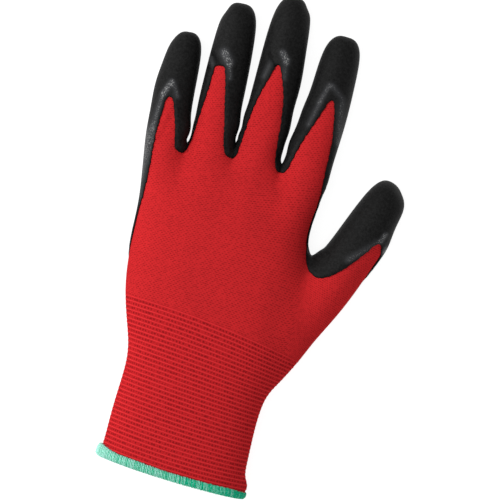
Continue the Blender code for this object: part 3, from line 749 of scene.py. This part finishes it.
def join_loops(cage, lower, upper, lower_knit, upper_knit, open_at=()):
    """Faces between two loops of as many points, with their places in the knit."""
    layer = cage.loops.layers.uv.verify()
    count = len(lower)
    for number in range(count):
        if number in open_at:
            continue
        after = (number + 1) % count
        face = cage.faces.new((lower[number], lower[after], upper[after], upper[number]))
        knit = (lower_knit[number], lower_knit[number + 1], upper_knit[number + 1], upper_knit[number])
        for corner, spot in zip(face.loops, knit):
            corner[layer].uv = spot


def cap_face(cage, corners, knit):
    layer = cage.loops.layers.uv.verify()
    face = cage.faces.new(corners)
    for corner, spot in zip(face.loops, knit):
        corner[layer].uv = spot


def grow_stall(cage, base, loops, middle, ahead=None):
    """Loft a finger from its base loop and close its tip with two faces."""
    lower = base
    lower_knit = stall_knit(lower, middle, ahead)
    for points in loops:
        upper = [cage.verts.new(point) for point in points]
        upper_knit = stall_knit(upper, middle, ahead)
        join_loops(cage, lower, upper, lower_knit, upper_knit)
        lower = upper
        lower_knit = upper_knit
    for corners in ((0, 1, 4, 5), (1, 2, 3, 4)):
        cap_face(cage, [lower[n] for n in corners], [lower_knit[n] for n in corners])


def build_cage():
    """The coarse hand: rings, four fingers with webs between them, and the thumb at the side."""
    cage = bmesh.new()
    cage.loops.layers.uv.new("knit")
    rings = [[cage.verts.new(point) for point in ring] for ring in hand_rings()]
    stalls = [finger_loops(number) for number in range(len(FINGERS))]
    back = [point for loops in stalls for point in loops[0][:PER_FINGER]]
    under = [point for loops in reversed(stalls) for point in loops[0][PER_FINGER:]]
    rings.append([cage.verts.new(point) for point in back + under])
    knits = [hand_knit(ring) for ring in rings]
    for number in range(len(rings) - 1):
        opens = (COLUMNS - 1,) if number in THUMB_RINGS[:-1] else ()
        join_loops(cage, rings[number], rings[number + 1], knits[number], knits[number + 1], opens)
    bases = finger_bases(rings[-1])
    for number, (base, loops) in enumerate(zip(bases, stalls)):
        middle = knits[-1][number * PER_FINGER + 1][0]
        grow_stall(cage, base, loops[1:], middle)
    for left, right in zip(bases, bases[1:]):
        corners = (left[2], right[0], right[5], left[3])
        cap_face(cage, corners, [(point.co.x, point.co.y) for point in corners])
    outer, middle, inner = (rings[number] for number in THUMB_RINGS)
    thumb_back = [ring[COLUMNS - 1] for ring in (inner, middle, outer)]
    thumb_under = [ring[COLUMNS] for ring in (outer, middle, inner)]
    ahead = Vector((math.sin(THUMB_LEAN), math.cos(THUMB_LEAN), 0))
    grow_stall(cage, thumb_back + thumb_under, thumb_loops(), KNIT_ROUND / 2, ahead)
    mesh = bpy.data.meshes.new("hand_cage")
    cage.to_mesh(mesh)
    cage.free()
    return mesh


def evaluated_mesh(item):
    graph = bpy.context.evaluated_depsgraph_get()
    return bpy.data.meshes.new_from_object(item.evaluated_get(graph))


def fine_skin(level):
    """The smooth hand form, each cage face halved that many times, flattened where it rests."""
    cage = bpy.data.objects.new("hand_cage", build_cage())
    bpy.context.scene.collection.objects.link(cage)
    smooth = cage.modifiers.new("smooth", "SUBSURF")
    smooth.levels = level
    smooth.render_levels = level
    smooth.quality = 4
    mesh = evaluated_mesh(cage)
    bpy.data.objects.remove(cage)
    shape = bmesh.new()
    shape.from_mesh(mesh)
    bpy.data.meshes.remove(mesh)
    nudge_and_fold(shape)
    for vertex in shape.verts:
        vertex.co.z = max(vertex.co.z, rest_level(vertex.co.y))
    shape.normal_update()
    return shape


def nudge_and_fold(shape):
    """Make the even form fuller or slimmer in places, and lay soft folds in its back."""
    spots = np.array([vertex.co.xy for vertex in shape.verts])
    moves = np.zeros_like(spots)
    for item in NUDGES:
        away = np.linalg.norm(spots - (item.x, item.y), axis=1) / item.reach
        moves += np.exp(-away ** 2)[:, None] * (item.across, item.along)
    for vertex, move in zip(shape.verts, moves.tolist()):
        vertex.co.x += move[0]
        vertex.co.y += move[1]
    shape.normal_update()
    spots = np.array([vertex.co.xy for vertex in shape.verts])
    rises = sum(item.height * near_fold(spots, item) for item in FOLDS).tolist()
    for vertex, rise in zip(shape.verts, rises):
        vertex.co += vertex.normal * rise * smooth_share(2 * vertex.normal.z)


def near_fold(spots, fold):
    """1 on a fold's line, falling to 0 beside it."""
    start = np.array((fold.x0, fold.y0))
    run = np.array((fold.x1, fold.y1)) - start
    share = np.clip(((spots - start) @ run) / (run @ run), 0, 1)
    away = np.linalg.norm(spots - start - share[:, None] * run, axis=1)
    return np.exp(-(away / fold.width) ** 2)


def piece(name, shape, made_of):
    """A finished mesh as an object, shaded smooth."""
    mesh = bpy.data.meshes.new(name)
    shape.to_mesh(mesh)
    shape.free()
    mesh.materials.append(made_of)
    mesh.shade_smooth()
    made = bpy.data.objects.new(name, mesh)
    bpy.context.scene.collection.objects.link(made)
    return made


def cut_cuff_rows(shape):
    """Add rows to the outer face of the cuff, so that its ribs can stand up."""
    highest = RIB_TOP + RIB_TOP_BOW + math.tan(RIB_TOP_SLANT) * CUFF_WIDTH / 2
    top = highest - REST_Y + 2 * RIB_PITCH
    lengthwise = []
    for edge in shape.edges:
        first, second = (vertex.co for vertex in edge.verts)
        if max(first.y, second.y) < top and abs(first.y - second.y) > 0.7 * edge.calc_length():
            lengthwise.append(edge)
    bmesh.ops.subdivide_edges(shape, edges=lengthwise, cuts=CUFF_CUTS)


def raise_ribs(shape):
    """Stand the elastic courses up and note them for the material."""
    shape.normal_update()
    course_layer = shape.verts.layers.float.new("course")
    cuff = shape.verts.layers.float.new("cuff")
    lifted = []
    for vertex in shape.verts:
        course = course_at(vertex.co.x, vertex.co.y)
        height = rib_height(course)
        vertex[course_layer] = course
        vertex[cuff] = 1 - smooth_share((course - RIB_TOP) / RIB_PITCH + 0.5)
        lifted.append((vertex, vertex.normal * (height - 0.4) * RIB_RELIEF * vertex[cuff]))
    for vertex, lift in lifted:
        vertex.co += lift


def make_liner():
    shape = fine_skin(LINER_LEVEL)
    inner = shape.copy()
    cut_cuff_rows(shape)
    raise_ribs(shape)
    for layer in ("course", "cuff"):
        inner.verts.layers.float.new(layer)
    line_inside(shape, inner)
    return piece("knit_liner_shell", shape, red_nylon_knit())


def line_inside(shape, inner):
    """Add the knit's inner face, one wall in, and join it to the outer face at the wrist."""
    rim = [vertex for vertex in shape.verts if vertex.is_boundary]
    inner_rim = [vertex.index for vertex in inner.verts if vertex.is_boundary]
    for vertex in inner.verts:
        vertex.co -= vertex.normal * LINER_WALL
    bmesh.ops.reverse_faces(inner, faces=inner.faces)
    held = bpy.data.meshes.new("inner_face")
    inner.to_mesh(held)
    inner.free()
    before = len(shape.verts)
    shape.from_mesh(held)
    bpy.data.meshes.remove(held)
    shape.verts.ensure_lookup_table()
    twins = [shape.verts[before + number] for number in inner_rim]
    nearest = {}
    for vertex in rim:
        nearest[vertex] = min(twins, key=lambda twin: (twin.co - vertex.co).length)
    for edge in [edge for edge in shape.edges if edge.is_boundary and edge.verts[0] in nearest]:
        corner = edge.link_loops[0]
        first = corner.vert
        second = corner.link_loop_next.vert
        shape.faces.new((second, first, nearest[first], nearest[second]))
    shape.normal_update()


def outline_distance(spots, outline):
    """Distances from places seen from above to a closed outline: positive outside it."""
    corners = np.array([(point.x, point.y) for point in outline])
    after = np.roll(corners, -1, axis=0)
    nearest = np.full(len(spots), np.inf)
    inside = np.zeros(len(spots), bool)
    for (x0, y0), (x1, y1) in zip(corners, after):
        run = np.array((x1 - x0, y1 - y0))
        share = np.clip(((spots - (x0, y0)) @ run) / (run @ run), 0, 1)
        nearest = np.minimum(nearest, np.linalg.norm(spots - (x0, y0) - share[:, None] * run, axis=1))
        crosses = (y0 > spots[:, 1]) != (y1 > spots[:, 1])
        with np.errstate(divide="ignore", invalid="ignore"):
            meets = x0 + (spots[:, 1] - y0) * (x1 - x0) / (y1 - y0)
        inside ^= crosses & (spots[:, 0] < meets)
    return np.where(inside, -nearest, nearest)


def coated_depth(spots):
    """How far inside the coating's edge each place lies: negative where the knit is bare."""
    back = outline_distance(spots[:, :2], window_outline())
    waves = (np.sin(spots[:, 0] * 1900 + spots[:, 1] * 700) + np.sin(spots[:, 1] * 1500 - spots[:, 0] * 400)
             + np.sin(spots[:, 1] * 3100 + 2.0))
    back += EDGE_WAVER * waves / 3
    start, start_x, start_z = through_three([dip_place(point).xzy for point in DIP_LINE])
    palm = (spots[:, 1] - start - start_x * spots[:, 0] - start_z * spots[:, 2])
    palm = palm / math.sqrt(1 + start_x ** 2 + start_z ** 2) + 2 * EDGE_WAVER * waves / 3
    level, level_x, level_y = through_three([dip_place(point) for point in HOLLOW_MIDDLE])
    above = spots[:, 2] - level - level_x * spots[:, 0] - level_y * spots[:, 1]
    share = np.clip(above / 0.002 + 0.5, 0, 1)
    return share * back + (1 - share) * palm


def keep_coated(shape, depth):
    """Cut the surface along the coating's edge and drop the bare side."""
    crossing = [edge for edge in shape.edges if depth[edge.verts[0]] * depth[edge.verts[1]] < 0]
    for edge in crossing:
        near, far = edge.verts
        share = depth[near] / (depth[near] - depth[far])
        made = bmesh.utils.edge_split(edge, near, share)[1]
        depth[made] = 0.0
    for face in list(shape.faces):
        on_edge = [vertex for vertex in face.verts if depth[vertex] == 0]
        if len(on_edge) == 2 and min(depth[v] for v in face.verts) < 0 < max(depth[v] for v in face.verts):
            bmesh.utils.face_split(face, on_edge[0], on_edge[1])
    bare = [face for face in shape.faces if min(depth[v] for v in face.verts) < 0]
    bmesh.ops.delete(shape, geom=bare, context="FACES")


def make_coating():
    shape = fine_skin(COAT_LEVEL)
    stretch_and_painted_sheen = shape.verts.layers.float.new("stretch_and_painted_sheen")
    edge = shape.verts.layers.float.new("edge")
    spots = np.array([vertex.co[:] for vertex in shape.verts])
    depth = dict(zip(shape.verts, coated_depth(spots).tolist()))
    keep_coated(shape, depth)
    normals = {vertex: vertex.normal.copy() for vertex in shape.verts}
    spots = np.array([vertex.co.xy for vertex in shape.verts])
    # painted sheen along each fold, where the foam is also made smoother
    sheen_and_stretch = sum(item.shine * near_fold(spots, item) for item in FOLDS).tolist()
    inward = {}
    # painted shade in the creases: the folds that dent the foam are darkened
    dents = sum(near_fold(spots, item) for item in FOLDS if item.height < 0).tolist()
    for vertex, sheen_and_stretch_here, dent in zip(shape.verts, sheen_and_stretch, dents):
        inside = smooth_share(depth[vertex] / LIP_WIDTH)
        # painted sheen and glints kept to folds that face up
        vertex[stretch_and_painted_sheen] = min(1.0, sheen_and_stretch_here) * smooth_share(3 * vertex.normal.z)
        # darker along the edge, and painted shade in the creases
        vertex[edge] = max(dent, 1 - smooth_share(depth[vertex] / DARK_EDGE_WIDTH))
        inward[vertex] = COAT_LIP + inside * (COAT_OUTSIDE - COAT_LIP)
    for vertex, normal in normals.items():
        vertex.co += normal * inward[vertex]
    line_coating(shape, normals, inward)
    coating = piece("nitrile_dip_shell", shape, black_foam_nitrile())
    fewer = coating.modifiers.new("fewer", "DECIMATE")
    fewer.ratio = COAT_KEPT
    lighter = evaluated_mesh(coating)
    coating.modifiers.clear()
    coating.data = lighter
    return coating


def line_coating(shape, normals, thickness):
    """Close the coating with its inner face, which lies just off the knit."""
    rims = [edge for edge in shape.edges if edge.is_boundary]
    outer = list(shape.verts)
    copied = bmesh.ops.duplicate(shape, geom=outer + list(shape.edges) + list(shape.faces))
    twin = copied["vert_map"]
    for vertex in outer:
        twin[vertex].co = vertex.co - normals[vertex] * (thickness[vertex] - COAT_INSIDE)
    inner = [item for item in copied["geom"] if isinstance(item, bmesh.types.BMFace)]
    bmesh.ops.reverse_faces(shape, faces=inner)
    for edge in rims:
        corner = edge.link_loops[0]
        first = corner.vert
        second = corner.link_loop_next.vert
        shape.faces.new((second, first, twin[first], twin[second]))
    shape.normal_update()


def rim_frames():
    """For each point of the cuff's edge in order: its place, outward direction and way up the wall."""
    shape = fine_skin(LINER_LEVEL)
    edge = next(edge for edge in shape.edges if edge.is_boundary)
    start = edge.verts[0]
    frames = []
    here = start
    while True:
        inner = next(e for e in here.link_edges if not e.is_boundary).other_vert(here)
        frames.append((here.co.copy(), here.normal.copy(), (inner.co - here.co).normalized()))
        here = edge.other_vert(here)
        if here == start:
            break
        edge = next(e for e in here.link_edges if e.is_boundary and e is not edge)
    shape.free()
    return frames


def hem_growth(spot):
    """How much the hem bulges at a place: 1 where it doesn't."""
    share = 2 * spot.x / CUFF_WIDTH
    return 1 + sum(item.growth * math.exp(-((share - item.share) / item.reach) ** 2) for item in HEM_BULGES)


def band_section(sink, growth):
    """The band's section: out from the skin and along the wall, that far under its outer faces."""
    outer = growth * (FIT_GAP + HEM_WALL) - sink
    seat_inside = -LINER_WALL - FIT_GAP
    inner = seat_inside - HEM_WALL + sink
    top = growth * HEM_WIDTH - FIT_GAP - HEM_WALL - sink
    end = -FIT_GAP - HEM_WALL + sink
    return ((FIT_GAP, top), (outer * 0.7, top), (outer, top * 0.6), (outer, 0.0), (outer * 0.4, end * 0.8),
            (-LINER_WALL / 2, end), (inner * 0.7, end * 0.8), (inner, 0.0), (inner, top * 0.6),
            (inner * 0.8, top), (seat_inside, top))


def along_rim(frames, lengths, distance):
    """The edge's frame at a distance round it."""
    total = lengths[-1]
    distance %= total
    number = int(np.searchsorted(lengths, distance, side="right")) - 1
    number = min(number, len(frames) - 1)
    share = (distance - lengths[number]) / (lengths[number + 1] - lengths[number])
    here = frames[number]
    there = frames[(number + 1) % len(frames)]
    return [first.lerp(second, share) for first, second in zip(here, there)]


def tube(shape, path, radius, sides, tone_and_painted_light, layer):
    """A thread along a path, closed at both ends."""
    rings = []
    for number, point in enumerate(path):
        before = path[max(0, number - 1)]
        after = path[min(len(path) - 1, number + 1)]
        heading = (after - before).normalized()
        side = heading.orthogonal().normalized() if not rings else (side - heading * side.dot(heading)).normalized()
        up = heading.cross(side)
        ring = []
        for turn in range(sides):
            angle = 2 * math.pi * turn / sides
            vertex = shape.verts.new(point + (side * math.cos(angle) + up * math.sin(angle)) * radius)
            vertex[layer] = tone_and_painted_light
            ring.append(vertex)
        rings.append(ring)
    for lower, upper in zip(rings, rings[1:]):
        for turn in range(sides):
            after = (turn + 1) % sides
            shape.faces.new((lower[turn], lower[after], upper[after], upper[turn]))
    shape.faces.new(rings[0][::-1])
    shape.faces.new(rings[-1])


def make_hem():
    """The overlock: a band of thread round the edge, with each stitch over it from inside to outside."""
    frames = rim_frames()
    count = len(frames)
    lengths = [0.0]
    for number in range(count):
        lengths.append(lengths[-1] + (frames[(number + 1) % count][0] - frames[number][0]).length)
    shape = bmesh.new()
    layer = shape.verts.layers.float.new("tone_and_painted_light")
    loops = []
    for spot, out, up in frames:
        section = band_section(THREAD_RADIUS, hem_growth(spot))
        loops.append([shape.verts.new(spot + out * off + up * along) for off, along in section])
    for number, loop in enumerate(loops):
        following = loops[(number + 1) % count]
        size = len(loop)
        for place in range(size):
            shape.faces.new((loop[place], loop[(place + 1) % size], following[(place + 1) % size], following[place]))
    for vertex in shape.verts:
        vertex[layer] = 0.0
    chance = np.random.default_rng(7)
    stitches = round(lengths[-1] / STITCH_PITCH)
    for number in range(stitches):
        start = (number + chance.uniform(-0.15, 0.15)) * lengths[-1] / stitches
        lean = STITCH_SLANT * chance.uniform(0.6, 1.4)
        reach = chance.uniform(-0.0003, 0.0003)
        growth = hem_growth(along_rim(frames, lengths, start)[0])
        section = band_section(0.7 * THREAD_RADIUS, growth)
        path = []
        for step, (off, along) in enumerate(section):
            spot, out, up = along_rim(frames, lengths, start + lean * step / (len(section) - 1))
            is_end = step in (0, len(section) - 1)
            path.append(spot + out * off + up * (along + (reach if is_end else 0)))
        # painted light: stitches lighter towards the little finger's side, where the key light falls; the random
        # part is each stitch's own tone
        painted_light_share = 0.5 - path[0].x / CUFF_WIDTH
        tone_and_painted_light = (0.5 - 0.2 * painted_light_share) * chance.uniform(0, 1) + 0.7 * painted_light_share
        tube(shape, path, THREAD_RADIUS * chance.uniform(0.85, 1.1), 6, tone_and_painted_light, layer)
    for vertex in shape.verts:
        vertex.co.z = max(vertex.co.z, 0.0)
    bmesh.ops.recalc_face_normals(shape, faces=shape.faces)
    return piece("overlock_hem_thread", shape, green_overlock_thread())


def make_floor():
    shape = bmesh.new()
    bmesh.ops.create_grid(shape, x_segments=2, y_segments=2, size=3.0)
    floor = piece("backdrop_floor", shape, pale_paper())


def soft_light(name, spot, width, power):
    """A square light that faces the glove."""
    data = bpy.data.lights.new(name, "AREA")
    data.shape = "SQUARE"
    data.size = width
    data.energy = power
    lamp = bpy.data.objects.new(name, data)
    lamp.location = spot
    lamp.rotation_euler = (-Vector(spot)).to_track_quat("-Z", "Y").to_euler()
    bpy.context.scene.collection.objects.link(lamp)


def make_studio():
    """Soft light from the glove's left, with a weak fill from everywhere."""
    soft_light("key_light", (-1.15, 0.1, 1.05), 0.9, 19)
    soft_light("top_light", (-0.2, -0.2, 1.8), 1.0, 8)
    world = bpy.data.worlds.new("studio_fill")
    world.use_nodes = True
    world.node_tree.nodes["Background"].inputs["Color"].default_value = (1, 1, 1, 1)
    world.node_tree.nodes["Background"].inputs["Strength"].default_value = 0.36
    bpy.context.scene.world = world
    bpy.context.scene.view_settings.view_transform = "Standard"


def make_camera():
    """Straight above the glove, turned as the picture is."""
    data = bpy.data.cameras.new("camera")
    data.lens = LENS
    data.sensor_width = SENSOR
    data.clip_end = 100
    camera = bpy.data.objects.new("camera", data)
    x, y, z = CAMERA_AIM
    camera.location = (x, y, z + PICTURE_WIDTH * LENS / SENSOR)
    camera.rotation_euler = (0, 0, CAMERA_TURN)
    bpy.context.scene.collection.objects.link(camera)
    bpy.context.scene.camera = camera


make_camera()
make_studio()
make_floor()
for made, stands_for, finish in (
        (make_liner(), "knit_liner", "liner_knit"),
        (make_coating(), "nitrile_coating", "nitrile"),
        (make_hem(), "cuff_hem", "hem_thread")):
    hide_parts(stands_for)
    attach(made, "root")
bpy.context.view_layer.update()
